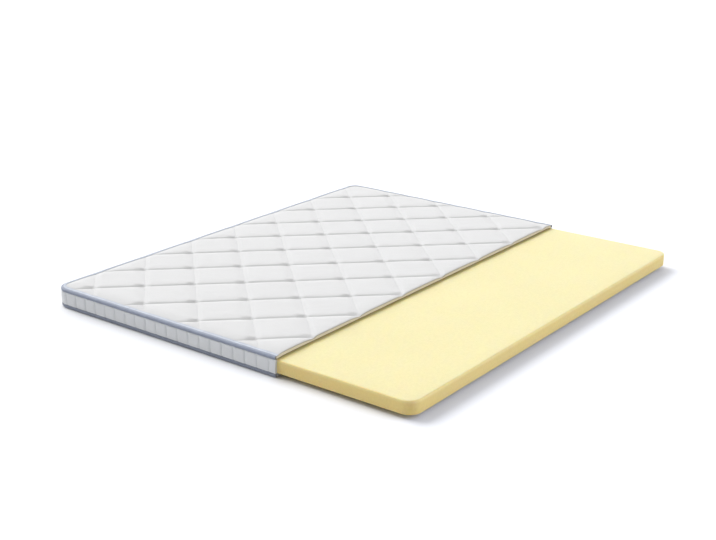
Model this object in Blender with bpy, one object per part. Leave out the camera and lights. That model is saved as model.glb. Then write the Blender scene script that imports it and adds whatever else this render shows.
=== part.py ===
"""Mattress topper for a 1.8 x 2.0 m bed, its quilted cover cut off to show the foam slab.

Metres, +Z up.  X runs across the bed, with the bare end of the foam at +X, Y runs along its length,
and the origin is on the floor below the middle of the whole.  Plan sizes are first worked out from
the foam's own corner and are moved to the origin by plan_point.
"""
import math

import bmesh
import bpy
from mathutils import Vector

# Foam slab.
FOAM_WIDTH = 1.800
FOAM_LENGTH = 2.000
FOAM_THICKNESS = 0.054
FOAM_CORNER_RADIUS = 0.050
FOAM_TOP_ROUNDING = 0.009
FOAM_BOTTOM_ROUNDING = 0.0045
CORNER_STEPS = 6

# Cover.  "Reach" is measured outwards from the foam's side.
COVER_WIDTH = 1.200
CLEARANCE = 0.0003
BASE_THICKNESS = 0.016
PANEL_REACH = 0.0020
TAPE_REACH = 0.0110
TAPE_HEIGHT = 0.013
TAPE_CORNER = 0.004
BASE_TAPE_REACH = 0.0105
BASE_TAPE_LIFT = 0.0005

# Quilting: two families of straight stitch lines that cross in diamonds.
DIAMOND_WIDTH = 0.300
DIAMOND_LENGTH = FOAM_LENGTH / 7
CROSSING_START = DIAMOND_LENGTH / 4
CROWN_HEIGHT = 0.0230
LINE_DEPTH = 0.0070
CROSSING_DEPTH = 0.0120
VALLEY_HALF_WIDTH = 0.018
VALLEY_SHOULDER = 0.007
DOME_RISE = 0.0015
SEAM_HEIGHT = 0.0115
EDGE_FALL = 0.070
EDGE_FALL_RINGS = (0.008, 0.026)

# The cut edge of the quilted panel lifts off the foam.
LIFT_HEIGHT = 0.0080
LIFT_LENGTH = 0.028
LIFT_SIDE_FADE = 0.050

# Border: a padded band with upright grooves.
GROOVE_PITCH = 0.0584
FIRST_GROOVE = 0.0316
GROOVE_REACH = 0.0052
RIB_REACH = 0.0082
RIB_SHOULDER = 0.012
BORDER_PULL_IN = 0.0016
BORDER_PULL_HEIGHT = 0.008

FOAM_BOTTOM = BASE_THICKNESS
FOAM_TOP = FOAM_BOTTOM + FOAM_THICKNESS
PANEL_BOTTOM = FOAM_TOP + CLEARANCE
BORDER_BOTTOM = BASE_THICKNESS + CLEARANCE
BORDER_TOP = FOAM_TOP - CLEARANCE
ORIGIN_X = (FOAM_WIDTH - TAPE_REACH) / 2
ORIGIN_Y = FOAM_LENGTH / 2

COLOURS = {
    "foam": ((0.93, 0.86, 0.53), 0.85),
    "quilted_fabric": ((0.88, 0.88, 0.89), 0.80),
    "base_fabric": ((0.80, 0.80, 0.80), 0.85),
    "border_fabric": ((0.74, 0.75, 0.76), 0.80),
    "tape": ((0.36, 0.44, 0.66), 0.65),
}


def plan_point(x, y):
    """Moves a plan point measured from the foam's corner to the model's origin."""
    return x - ORIGIN_X, y - ORIGIN_Y


def clear_scene():
    for item in list(bpy.data.objects):
        bpy.data.objects.remove(item, do_unlink=True)


def material(name):
    colour, roughness = COLOURS[name]
    made = bpy.data.materials.get(name)
    if made is None:
        made = bpy.data.materials.new(name)
        made.use_nodes = True
        shader = made.node_tree.nodes["Principled BSDF"]
        shader.inputs["Base Color"].default_value = (*colour, 1.0)
        shader.inputs["Roughness"].default_value = roughness
        shader.inputs["Metallic"].default_value = 0.0
        made.diffuse_color = (*colour, 1.0)
    return made


def finish_object(name, bm, slot):
    """Turns a bmesh into a named object with outward faces and its material."""
    bmesh.ops.recalc_face_normals(bm, faces=bm.faces)
    mesh = bpy.data.meshes.new(name)
    bm.to_mesh(mesh)
    bm.free()
    mesh.shade_smooth()
    mesh.set_sharp_from_angle(angle=math.radians(40))
    mesh.materials.append(material(slot))
    made = bpy.data.objects.new(name, mesh)
    bpy.context.collection.objects.link(made)
    return made


def arc_stations(centre, start_angle):
    """The points of a quarter turn of the foam's corner, each with its outward normal."""
    stations = []
    for step in range(CORNER_STEPS + 1):
        angle = start_angle - step * math.pi / 2 / CORNER_STEPS
        normal = Vector((math.cos(angle), math.sin(angle)))
        stations.append((centre + normal * FOAM_CORNER_RADIUS, normal))
    return stations


def near_corner_stations():
    return arc_stations(Vector((FOAM_CORNER_RADIUS, FOAM_CORNER_RADIUS)), 1.5 * math.pi)


def far_corner_stations():
    centre = Vector((FOAM_CORNER_RADIUS, FOAM_LENGTH - FOAM_CORNER_RADIUS))
    return arc_stations(centre, math.pi)


def cover_path():
    """The U that the cover's edge follows, from the cut along the near side, the end and back."""
    near_end = (Vector((COVER_WIDTH, 0.0)), Vector((0.0, -1.0)))
    far_end = (Vector((COVER_WIDTH, FOAM_LENGTH)), Vector((0.0, 1.0)))
    return [near_end] + near_corner_stations() + far_corner_stations() + [far_end]


def foam_path():
    """The closed outline of the foam slab."""
    right = FOAM_WIDTH - FOAM_CORNER_RADIUS
    far_right = arc_stations(Vector((right, FOAM_LENGTH - FOAM_CORNER_RADIUS)), math.pi / 2)
    near_right = arc_stations(Vector((right, FOAM_CORNER_RADIUS)), 0.0)
    return near_corner_stations() + far_corner_stations() + far_right + near_right


def refine(path, lengths):
    """Adds stations to a path at the given lengths along it."""
    stations = []
    walked = 0.0
    wanted = sorted(lengths)
    for (start, start_normal), (end, end_normal) in zip(path, path[1:]):
        span = (end - start).length
        stations.append((start, start_normal, walked))
        while wanted and wanted[0] < walked + span:
            share = (wanted.pop(0) - walked) / span
            normal = start_normal.lerp(end_normal, share).normalized()
            stations.append((start.lerp(end, share), normal, walked + share * span))
        walked += span
    end, end_normal = path[-1]
    stations.append((end, end_normal, walked))
    return stations


def path_length(path):
    return sum((end - start).length for (start, _), (end, _) in zip(path, path[1:]))


def sweep(bm, stations, section):
    """Sweeps a closed section along stations; section(station) lists (reach, height) pairs."""
    rings = []
    for station in stations:
        base, normal = station[0], station[1]
        ring = []
        for reach, height in section(station):
            spot = base + normal * reach
            ring.append(bm.verts.new((*plan_point(spot.x, spot.y), height)))
        rings.append(ring)
    count = len(rings[0])
    for here, there in zip(rings, rings[1:]):
        for index in range(count):
            after = (index + 1) % count
            bm.faces.new((here[index], here[after], there[after], there[index]))
    bm.faces.new(rings[0])
    bm.faces.new(list(reversed(rings[-1])))


def flat_outline(bm, path, reach, height):
    """One flat face inside a path."""
    verts = []
    for base, normal in path:
        spot = base + normal * reach
        verts.append(bm.verts.new((*plan_point(spot.x, spot.y), height)))
    return bm.faces.new(verts)


def edges_at_height(bm, height, skip_x=None):
    """The level edges at a height, without those that lie in the plane x = skip_x."""
    found = []
    for edge in bm.edges:
        level = all(abs(vert.co.z - height) < 1e-6 for vert in edge.verts)
        skipped = skip_x is not None and all(abs(vert.co.x - skip_x) < 1e-6 for vert in edge.verts)
        if level and not skipped:
            found.append(edge)
    return found


def rounded_slab(name, slot, path, reach, levels, roundings, skip_x=None):
    """A flat slab between two levels with its lower and upper rims rounded."""
    bm = bmesh.new()
    face = flat_outline(bm, path, reach, levels[0])
    raised = bmesh.ops.extrude_face_region(bm, geom=[face])
    top_verts = [item for item in raised["geom"] if isinstance(item, bmesh.types.BMVert)]
    bmesh.ops.translate(bm, verts=top_verts, vec=(0.0, 0.0, levels[1] - levels[0]))
    for level, rounding in zip(levels, roundings):
        rim = edges_at_height(bm, level, skip_x)
        bmesh.ops.bevel(bm, geom=rim, offset=rounding, segments=3, profile=0.5, affect="EDGES")
    return finish_object(name, bm, slot)


def foam_core():
    levels = (FOAM_BOTTOM, FOAM_TOP)
    roundings = (FOAM_BOTTOM_ROUNDING, FOAM_TOP_ROUNDING)
    return rounded_slab("foam_core", "foam", foam_path(), 0.0, levels, roundings)


def bottom_panel():
    levels = (0.0, BASE_THICKNESS - CLEARANCE)
    cut_x = plan_point(COVER_WIDTH, 0.0)[0]
    return rounded_slab("bottom_panel", "base_fabric", cover_path(), PANEL_REACH, levels,
                        (0.002, 0.001), skip_x=cut_x)


def rounded_section(inner, outer, low, high, rounding):
    """A tape's section: flat against its neighbours, with its two outer corners rounded."""
    section = [(inner, low)]
    centres = ((low + rounding, -math.pi / 2), (high - rounding, 0.0))
    for height, start_angle in centres:
        for step in range(4):
            angle = start_angle + step * math.pi / 6
            reach = outer - rounding + rounding * math.cos(angle)
            section.append((reach, height + rounding * math.sin(angle)))
    section.append((inner, high))
    return section


def tape(name, reach, low, high):
    bm = bmesh.new()
    profile = rounded_section(PANEL_REACH + CLEARANCE, reach, low, high, TAPE_CORNER)
    sweep(bm, cover_path(), lambda station: profile)
    return finish_object(name, bm, "tape")


def rib_lengths(path):
    """Lengths along the border at each groove, both shoulders and the middle of each rib."""
    whole = path_length(path)
    lengths = []
    groove = FIRST_GROOVE
    while groove < whole - RIB_SHOULDER:
        lengths += [groove - RIB_SHOULDER, groove, groove + RIB_SHOULDER]
        groove += GROOVE_PITCH
    return lengths


def rib_reach(walked):
    """How far the border's face stands out: least in a groove, full on a rib."""
    offset = (walked - FIRST_GROOVE) / GROOVE_PITCH
    from_groove = abs(offset - round(offset)) * GROOVE_PITCH
    rise = min(from_groove / RIB_SHOULDER, 1.0)
    return GROOVE_REACH + (RIB_REACH - GROOVE_REACH) * math.sqrt(rise)


def border():
    path = cover_path()

    def section(station):
        reach = rib_reach(station[2])
        low_belly = BORDER_BOTTOM + BORDER_PULL_HEIGHT
        high_belly = BORDER_TOP - BORDER_PULL_HEIGHT
        return [(CLEARANCE, BORDER_BOTTOM), (reach - BORDER_PULL_IN, BORDER_BOTTOM),
                (reach, low_belly), (reach, high_belly),
                (reach - BORDER_PULL_IN, BORDER_TOP), (CLEARANCE, BORDER_TOP)]

    bm = bmesh.new()
    sweep(bm, refine(path, rib_lengths(path)), section)
    bmesh.ops.dissolve_limit(bm, angle_limit=math.radians(0.2), verts=bm.verts, edges=bm.edges)
    return finish_object("border", bm, "border_fabric")


def stitch_coordinates(x, y):
    """The two stitch-line coordinates of a plan point; a line runs where one is an odd number."""
    across = x / (DIAMOND_WIDTH / 2)
    along = (y - CROSSING_START) / (DIAMOND_LENGTH / 2)
    return across + along, across - along


LINE_SPACING = 2 / math.hypot(2 / DIAMOND_WIDTH, 2 / DIAMOND_LENGTH)


def line_distance(value):
    """Distance in plan from the nearest stitch line of one family."""
    return abs((value - 1) / 2 - round((value - 1) / 2)) * LINE_SPACING


def valley(distance):
    return (1 - min(distance / VALLEY_HALF_WIDTH, 1.0)) ** 2


def edge_distance(x, y):
    """Distance from the cover's sewn edge, the cut side not counted."""
    radius = FOAM_CORNER_RADIUS + PANEL_REACH
    side = min(y, FOAM_LENGTH - y)
    if x < FOAM_CORNER_RADIUS and side < FOAM_CORNER_RADIUS:
        return radius - math.hypot(FOAM_CORNER_RADIUS - x, FOAM_CORNER_RADIUS - side)
    return min(x, side) + PANEL_REACH


def quilt_height(x, y):
    """Height of the quilted face above the foam."""
    first, second = (line_distance(value) for value in stitch_coordinates(x, y))
    first_valley, second_valley = valley(first), valley(second)
    depth = LINE_DEPTH * max(first_valley, second_valley)
    depth += (CROSSING_DEPTH - LINE_DEPTH) * first_valley * second_valley
    dome = DOME_RISE * min(first, second) / (LINE_SPACING / 2)
    puff = CROWN_HEIGHT - DOME_RISE + dome - depth
    risen = min(max(edge_distance(x, y) / EDGE_FALL, 0.0), 1.0)
    return SEAM_HEIGHT + (puff - SEAM_HEIGHT) * (1 - (1 - risen) ** 2)


def underside_height(x, y):
    """Height of the panel's underside above the foam: level, but lifted along the cut edge."""
    near_cut = max(1 - (COVER_WIDTH - x) / LIFT_LENGTH, 0.0)
    side = min(y, FOAM_LENGTH - y)
    fade = min(max(side / LIFT_SIDE_FADE, 0.0), 1.0)
    return CLEARANCE + (LIFT_HEIGHT - CLEARANCE) * near_cut ** 1.5 * fade


def stitch_steps(low, high):
    """Values of one stitch coordinate at each line, its valley's shoulders and each puff's middle."""
    offsets = []
    for distance in (VALLEY_SHOULDER, VALLEY_HALF_WIDTH):
        offsets += [-2 * distance / LINE_SPACING, 2 * distance / LINE_SPACING]
    values = []
    line = math.floor(low / 2) * 2 - 1
    while line <= high + 2:
        values += [line, line + 1]
        values += [line + offset for offset in offsets]
        line += 2
    return sorted(values)


def quilt_grid():
    """A flat sheet whose edges follow the stitch lines, a little larger than the panel."""
    margin = DIAMOND_WIDTH / 2
    corners = [stitch_coordinates(x, y) for x in (0.0, COVER_WIDTH) for y in (0.0, FOAM_LENGTH)]
    firsts = stitch_steps(min(pair[0] for pair in corners), max(pair[0] for pair in corners))
    seconds = stitch_steps(min(pair[1] for pair in corners), max(pair[1] for pair in corners))
    bm = bmesh.new()
    grid = {}

    def vert(row, column):
        if (row, column) not in grid:
            x = (firsts[row] + seconds[column]) / 2 * DIAMOND_WIDTH / 2
            y = (firsts[row] - seconds[column]) / 2 * DIAMOND_LENGTH / 2 + CROSSING_START
            grid[row, column] = bm.verts.new((x, y, 0.0))
        return grid[row, column]

    for row in range(len(firsts) - 1):
        for column in range(len(seconds) - 1):
            x = (firsts[row] + seconds[column]) / 2 * DIAMOND_WIDTH / 2
            y = (firsts[row] - seconds[column]) / 2 * DIAMOND_LENGTH / 2 + CROSSING_START
            inside = -margin < x < COVER_WIDTH + margin and -margin < y < FOAM_LENGTH + margin
            if inside:
                bm.faces.new((vert(row, column), vert(row + 1, column),
                              vert(row + 1, column + 1), vert(row, column + 1)))
    return bm


def slice_sheet(bm, point, normal, clear=False, faces=None):
    """Cuts a sheet along a plane, and takes away what lies beyond it where asked."""
    chosen = list(bm.faces) if faces is None else faces
    edges = {edge for face in chosen for edge in face.edges}
    verts = {vert for face in chosen for vert in face.verts}
    bmesh.ops.bisect_plane(bm, geom=chosen + list(edges) + list(verts), dist=1e-5,
                           plane_co=(*point, 0.0), plane_no=(*normal, 0.0), clear_outer=clear)


def trim_to_outline(bm):
    """Cuts the sheet to the panel's outline: four straight sides and two rounded corners."""
    low, high = -PANEL_REACH, FOAM_LENGTH + PANEL_REACH
    slice_sheet(bm, (low, 0.0), (-1.0, 0.0), clear=True)
    slice_sheet(bm, (COVER_WIDTH, 0.0), (1.0, 0.0), clear=True)
    slice_sheet(bm, (0.0, low), (0.0, -1.0), clear=True)
    slice_sheet(bm, (0.0, high), (0.0, 1.0), clear=True)
    half_step = math.pi / 4 / CORNER_STEPS
    chord_distance = (FOAM_CORNER_RADIUS + PANEL_REACH) * math.cos(half_step)
    for centre_y, side in ((FOAM_CORNER_RADIUS, -1), (FOAM_LENGTH - FOAM_CORNER_RADIUS, 1)):
        for step in range(CORNER_STEPS):
            angle = half_step * (2 * step + 1)
            normal = (-math.cos(angle), side * math.sin(angle))
            point = (FOAM_CORNER_RADIUS + normal[0] * chord_distance,
                     centre_y + normal[1] * chord_distance)
            slice_sheet(bm, point, normal, clear=True)


def add_edge_rings(bm):
    """Lines along the sewn sides, where the panel rounds over to its seam."""
    for distance in EDGE_FALL_RINGS:
        inner = distance - PANEL_REACH
        slice_sheet(bm, (inner, 0.0), (-1.0, 0.0))
        slice_sheet(bm, (0.0, inner), (0.0, -1.0))
        slice_sheet(bm, (0.0, FOAM_LENGTH - inner), (0.0, 1.0))


def top_panel():
    bm = quilt_grid()
    trim_to_outline(bm)
    add_edge_rings(bm)
    for vert in bm.verts:
        vert.co.z = FOAM_TOP + quilt_height(vert.co.x, vert.co.y)
    rim = [edge for edge in bm.edges if edge.is_boundary]
    wall = bmesh.ops.extrude_edge_only(bm, edges=rim)
    wall_edges = [item for item in wall["geom"] if isinstance(item, bmesh.types.BMEdge)]
    low_rim = [edge for edge in wall_edges if edge.is_boundary]
    for vert in {vert for edge in low_rim for vert in edge.verts}:
        vert.co.z = FOAM_TOP
    base = bmesh.ops.edgeloop_fill(bm, edges=low_rim)["faces"]
    slice_sheet(bm, (COVER_WIDTH - LIFT_LENGTH, 0.0), (1.0, 0.0), faces=base)
    strip = flat_faces_beyond(bm, COVER_WIDTH - LIFT_LENGTH)
    slice_sheet(bm, (COVER_WIDTH - LIFT_LENGTH / 2, 0.0), (1.0, 0.0), faces=strip)
    for line_y in (LIFT_SIDE_FADE, FOAM_LENGTH - LIFT_SIDE_FADE):
        strip = flat_faces_beyond(bm, COVER_WIDTH - LIFT_LENGTH)
        slice_sheet(bm, (0.0, line_y), (0.0, 1.0), faces=strip)
    for vert in bm.verts:
        if abs(vert.co.z - FOAM_TOP) < 1e-6:
            vert.co.z = FOAM_TOP + underside_height(vert.co.x, vert.co.y)
    for vert in bm.verts:
        vert.co.x, vert.co.y = plan_point(vert.co.x, vert.co.y)
    bmesh.ops.dissolve_limit(bm, angle_limit=math.radians(0.2), verts=bm.verts, edges=bm.edges)
    return finish_object("top_panel", bm, "quilted_fabric")


def flat_faces_beyond(bm, x):
    """The faces at the foam's level whose middle lies beyond x."""
    found = []
    for face in bm.faces:
        level = all(abs(vert.co.z - FOAM_TOP) < 1e-6 for vert in face.verts)
        if level and face.calc_center_median().x > x:
            found.append(face)
    return found


def main():
    clear_scene()
    foam_core()
    bottom_panel()
    border()
    top_panel()
    tape("top_tape", TAPE_REACH, FOAM_TOP, FOAM_TOP + TAPE_HEIGHT)
    tape("bottom_tape", BASE_TAPE_REACH, BASE_TAPE_LIFT, BASE_THICKNESS)


main()
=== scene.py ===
"""Looks of a cut-open mattress topper: a foam slab in a quilted cover, made piece by piece.

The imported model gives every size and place.  Pieces are in metres, in its frame: X across the bed
with the bare foam at +X, Y along its length, Z up from the floor.
"""
import math

import bmesh
import bpy
import numpy as np
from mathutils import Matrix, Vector, noise


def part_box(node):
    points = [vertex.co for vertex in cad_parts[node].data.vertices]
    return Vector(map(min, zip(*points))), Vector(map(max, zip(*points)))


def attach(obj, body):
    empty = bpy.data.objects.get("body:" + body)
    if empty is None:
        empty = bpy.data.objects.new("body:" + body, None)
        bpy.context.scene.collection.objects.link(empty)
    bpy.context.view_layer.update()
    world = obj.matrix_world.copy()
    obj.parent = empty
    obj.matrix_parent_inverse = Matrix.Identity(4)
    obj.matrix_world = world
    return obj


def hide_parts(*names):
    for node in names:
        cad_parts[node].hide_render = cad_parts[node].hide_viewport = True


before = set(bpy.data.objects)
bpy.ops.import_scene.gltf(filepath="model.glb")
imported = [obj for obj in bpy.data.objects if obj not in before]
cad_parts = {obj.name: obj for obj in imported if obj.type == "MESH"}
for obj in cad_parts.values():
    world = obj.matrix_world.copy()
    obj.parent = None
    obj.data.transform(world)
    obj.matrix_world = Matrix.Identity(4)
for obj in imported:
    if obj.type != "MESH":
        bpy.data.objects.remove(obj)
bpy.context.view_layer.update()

bl_info = {
    "name": "Cut-open mattress topper",
    "version": (1, 0, 0),
    "blender": (4, 5, 0),
    "location": "3D View > Sidebar > Topper",
    "description": "Builds the pieces of a quilted mattress topper, cut open to show its foam",
    "category": "Add Mesh",
}

FOAM_LOW, FOAM_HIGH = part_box("foam_core")
PANEL_LOW, PANEL_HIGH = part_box("top_panel")
BASE_LOW, BASE_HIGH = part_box("bottom_panel")
BORDER_LOW, BORDER_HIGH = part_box("border")
TOP_TAPE_LOW, TOP_TAPE_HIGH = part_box("top_tape")
BASE_TAPE_LOW, BASE_TAPE_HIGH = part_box("bottom_tape")
CUT_X = PANEL_HIGH.x
FOAM_LENGTH = FOAM_HIGH.y - FOAM_LOW.y
PANEL_REACH = FOAM_LOW.x - PANEL_LOW.x
SMALL = 0.0003

# Beside the cut: the strip in which crossings grow shallower and by what share, the two strips over
# which the face is drawn down, and the shares of the lifted strip at which its layers are divided.
CUT_ZONE, CUT_EASE = 0.055, 0.7
DRAWN_STRIPS = (0.050, 0.007)
LIFT_SHARES = np.array((0.12, 0.26, 0.42, 0.60, 0.80, 1.0))

# Where the layers' grids are divided: distances from the stitch lines, from the sewn edge and, for
# the face, from the cut.
FACE_LINES = (0.002, 0.0045, 0.0075, 0.0110, 0.015, 0.020, 0.027, 0.036, 0.047, 0.060, 0.074, 0.089)
FACE_RINGS = (0.003, 0.008, 0.016, 0.028, 0.044)
FACE_STRIPS = (0.0012, 0.0026, 0.0044, 0.0080, 0.016)
WADDING_LINES, WADDING_RINGS = (0.004, 0.010, 0.018, 0.030, 0.050, 0.076), (0.006, 0.020, 0.044)
BACKING_LINES, BACKING_RINGS = (0.035, 0.070), (0.012, 0.028, 0.048)

# Outsides of the tapes: reach from the foam's side, with the rise above the panel in the fold, and
# with a share of the tape's height on the sides, downwards for the upper tape and upwards below.
UPPER_FOLD = ((-0.0002, 0.0004), (0.0016, 0.0005), (0.0042, 0.0001), (0.0068, -0.0010))
UPPER_SIDE = ((0.0090, 0.14), (0.0100, 0.34), (0.0103, 0.55), (0.0099, 0.74), (0.0088, 0.89),
              (0.0072, 0.98))
LOWER_SIDE = ((0.0066, 0.995), (0.0084, 0.97), (0.0096, 0.88), (0.0102, 0.74), (0.0104, 0.56),
              (0.0101, 0.40), (0.0092, 0.25), (0.0077, 0.13), (0.0058, 0.05), (0.0036, 0.0))

# Share of a stitch's length that its thread lies on top.
STITCH_SHARE = 0.72

# How far the face's seam edge is tucked out and down under the upper tape, and its allowance.
TUCK_OUT, TUCK_DOWN, SEAM = 0.0055, 0.0030, 0.012

# Reaches of a crossing's notch in the cut edge: in from the cut, and to both sides along it.
NOTCH_IN, NOTCH_LEFT, NOTCH_RIGHT = 0.016, 0.014, 0.009

# Gathers: length along a line, width across it, and where beside the stitching they are highest.
GATHER_LENGTH, GATHER_WIDTH, GATHER_REACH = 0.030, 0.060, 0.012

# How far the panel's seam lies under the upper tape's top.
SEAM_DROP = 0.0012

# Columns and rows of the knit, the colour of the painted shade along the face cloth's cut edge,
# and the depths that shading adds to a crossing, to a soft line and to the streaks.
KNIT_WALE, KNIT_COURSE = 0.0016, 0.0012
CUT_EDGE_SHADE = (0.40, 0.36, 0.29)
CROSSING_SHADE, SOFT_SHADE, STREAK_SHADE = 0.0056, 0.0012, 0.0012

# Unevenness of the foam's faces, and of the wadding's cut face: set back, strands and clumps.
BROAD_DENTS, FINE_DENTS = 0.00030, 0.00014
FRAY_BACK, FRAY_STRAND, FRAY_CLUMP = 0.0012, 0.0007, 0.0005

# The wadding's clearance under the face and over the backing, and its least thickness.
CLEAR_ABOVE, CLEAR_BELOW, THINNEST = 0.0004, 0.0002, 0.0006

# How far the side band rounds in at its edges, and the small waves of band and tapes.
BAND_ROUNDING, BAND_WAVES, TAPE_WAVES = 0.0019, 0.0005, 0.0004

# Where the quilting's rows stop: before the cut, and before the panel's sewn edge.
CUT_MARGIN, SEWN_MARGIN = 0.003, 0.006

# Where each light comes from, and its width in degrees.
LIGHTS = {
    "key": ((-1.0, 0.07, 0.92), 42),
    "back": ((-0.65, 0.76, 0.38), 40),
    "side": ((1.0, 0.60, 0.38), 70),
    "front": ((-3.0, -1.0, 0.8), 70),
    "fill": ((1.0, 0.60, 0.38), 70),
}
FLAGGED = {
    "key": (("side_band", "base_edge_tape"), "EXCLUDE"),
    "back": (("side_band", "base_edge_tape"), "EXCLUDE"),
    "side": (("floor",), "EXCLUDE"),
    "fill": (("floor",), "INCLUDE"),
}


def prop(kind, **fixed):
    """Declares properties of one kind by their name, description and default."""
    def declare(name, description, default):
        return kind(name=name, description=description, default=default, **fixed)
    return declare


length = prop(bpy.props.FloatProperty, min=0.0, unit="LENGTH", precision=4)
colour = prop(bpy.props.FloatVectorProperty, subtype="COLOR", size=3, min=0.0, max=1.0)
number = prop(bpy.props.FloatProperty, min=0.0)
angle = prop(bpy.props.FloatProperty, subtype="ANGLE")


class TopperSizes(bpy.types.PropertyGroup):
    """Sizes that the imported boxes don't give."""
    corner_radius: length("Corner radius", "Radius of the foam's corners in plan", 0.050)
    diamond_width: length("Diamond width", "Size of one quilted diamond across the bed", 0.300)
    diamond_length: length("Diamond length", "Size of one diamond along the bed", FOAM_LENGTH / 7)
    crease_depth: length("Crease depth", "Depth of the lines that run to the far right", 0.0036)
    crease_far: length("Crease far side", "Width of those lines' steep side", 0.014)
    crease_near: length("Crease near side", "Width of those lines' gentle side", 0.030)
    soft_depth: length("Soft depth", "Depth of the lines that run to the near right", 0.0028)
    soft_left: length("Soft left side", "Width of those lines' gentle side", 0.044)
    soft_right: length("Soft right side", "Width of those lines' steep side", 0.027)
    pinch_depth: length("Pinch depth", "Extra depth where two lines cross", 0.0050)
    pinch_left: length("Pinch left", "Reach of that depth to the left, along a crease", 0.048)
    pinch_right: length("Pinch right", "Reach of that depth to the right", 0.014)
    pinch_shift: length("Pinch shift", "How far left of a crossing that depth is greatest", 0.006)
    pinch_far: length("Pinch far side", "Reach of that depth behind a crease", 0.029)
    pinch_near: length("Pinch near side", "Reach of that depth before a crease", 0.011)
    notch_depth: length("Notch depth", "Extra depth of a crossing on the cut edge", 0.0012)
    cut_pull: number("Cut pull", "Share by which the face is drawn down along the cut", 0.43)
    cut_level: length("Cut level", "Height above the foam that it is drawn down towards", 0.0072)
    line_shift: length("Line shift", "How far the soft lines stand to the left of their even place", 0.0085)
    dome_rise: length("Dome rise", "Rise from a puff's shoulder to its middle", 0.0030)
    edge_fall: length("Edge fall", "Width over which the panel rounds down to its seam", 0.070)
    pucker: length("Pucker", "Height of the small gathers beside the stitching", 0.0006)
    cloth: length("Cloth", "Thickness of the quilted face cloth", 0.0012)
    backing: length("Backing", "Thickness of the panel's backing cloth", 0.0014)
    lift: length("Lift", "How far the cut edge stands off the foam", 0.0035)
    lift_length: length("Lift length", "Width of the lifted strip beside the cut", 0.028)
    lift_fade: length("Lift fade", "Width at both sides where the lift dies out", 0.050)
    groove_pitch: length("Groove pitch", "Distance between the border's grooves", 0.0584)
    first_groove: length("First groove", "Distance of the first groove from the cut", 0.0316)
    groove_depth: length("Groove depth", "Depth of a groove in the border", 0.0038)
    groove_width: length("Groove width", "Half the width of a groove", 0.011)
    band_reach: length("Band reach", "How far the side band stands out from the foam", 0.0104)
    tape_leaf: length("Tape leaf", "Width of the upper tape that lies on the panel", 0.011)
    tape_cloth: length("Tape cloth", "Thickness of the edge tape", 0.0016)
    stitch: length("Stitch", "Length of one stitch", 0.0042)
    thread: length("Thread", "Diameter of the sewing thread", 0.0006)


class TopperColours(bpy.types.PropertyGroup):
    """Colours of the materials, as linear values."""
    knit: colour("Knit", "Quilted face cloth", (0.536, 0.536, 0.539))
    # Painted light: the band is paler than the face knit, though both are one white cloth, for light the
    # lamps don't give its sides.
    band: colour("Band", "Side band", (0.670, 0.681, 0.688))
    # Painted shade: the lower panel is greyer than the rest of the cover, for the dark line along the
    # cover's foot.
    base: colour("Base", "Lower panel", (0.47, 0.465, 0.45))
    # Painted shade: the backing cloth is given a dark brown, for the shade in the gap under the lifted cut
    # edge.
    backing: colour("Backing", "Backing cloth of the quilted panel", (0.35, 0.26, 0.10))
    wadding: colour("Wadding", "Wadding in the cut edge", (0.735, 0.678, 0.540))
    foam: colour("Foam", "Foam slab", (0.620, 0.563, 0.311))
    # Painted shade: the colour painted on the foam's top beside the cut, for the cover edge's shadow there.
    foam_shaded: colour("Foam beside the cut", "Foam under the cover's cut edge", (0.640, 0.545, 0.235))
    # Painted light: a lighter colour on the upper part of the sides, towards the rounded top edge where
    # more light falls.
    foam_rim: colour("Foam rim", "Upper rim of the sawn sides", (0.770, 0.658, 0.316))
    foam_side: colour("Foam side", "Sawn sides of the foam", (0.728, 0.575, 0.237))
    # The tape's darker blue is partly its own colour and partly painted shade under its roll.
    tape: colour("Tape", "Edge tapes", (0.270, 0.301, 0.384))
    tape_leaf: colour("Tape leaf", "Pale inner edge of the upper tape", (0.49, 0.53, 0.60))
    thread: colour("Thread", "Quilting thread", (0.60, 0.60, 0.61))
    floor: colour("Floor", "Studio floor", (0.735, 0.736, 0.742))


class StudioSettings(bpy.types.PropertyGroup):
    """Camera and lights; a light's strength is what it gives a level surface."""
    azimuth: angle("Azimuth", "Camera's angle round the topper", math.radians(37.58))
    elevation: angle("Elevation", "Camera's angle above the floor", math.radians(19.30))
    distance: length("Distance", "From the camera to the point it looks at", 5.5345)
    aim: bpy.props.FloatVectorProperty(
        name="Aim", description="Point that the camera looks at", subtype="XYZ", unit="LENGTH",
        default=(-0.1507, 0.0723, 0.016))
    lens: number("Lens", "Focal length in millimetres on a 36 mm sensor", 62.26)
    sky: number("Sky", "Strength of the even light all round", 0.504)
    sky_lean: number("Sky lean", "How much darker the light is behind the camera", 0.45)
    key: number("Key", "Strength of the main light", 0.650)
    back: number("Back", "Strength of the low back light", 0.112)
    side: number("Side", "Strength of the light on the bare end", 0.155)
    front: number("Front", "Strength of the light on the long side", 0.095)
    fill: number("Fill", "Strength of the cool light on the floor", 0.340)
    fill_tint: colour("Fill tint", "Colour of the floor's light", (0.67, 0.75, 1.0))


# ---- plan and relief of the cover

def sizes_now():
    return bpy.context.scene.topper_sizes


def stitch_coordinates(x, y):
    """The two stitch-line coordinates of plan points; a line runs where one is an odd number."""
    sizes = sizes_now()
    across = (x - FOAM_LOW.x) / (sizes.diamond_width / 2)
    along = (y - first_line()) / (sizes.diamond_length / 2)
    return across + along + soft_shift(), across - along


def first_line():
    """Where the quilting starts along the bed: a quarter of a diamond from the foam's end."""
    return FOAM_LOW.y + sizes_now().diamond_length / 4


def soft_shift():
    """Shift of the soft lines, in stitch coordinates."""
    return 2 * sizes_now().line_shift / line_spacing()


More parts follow.
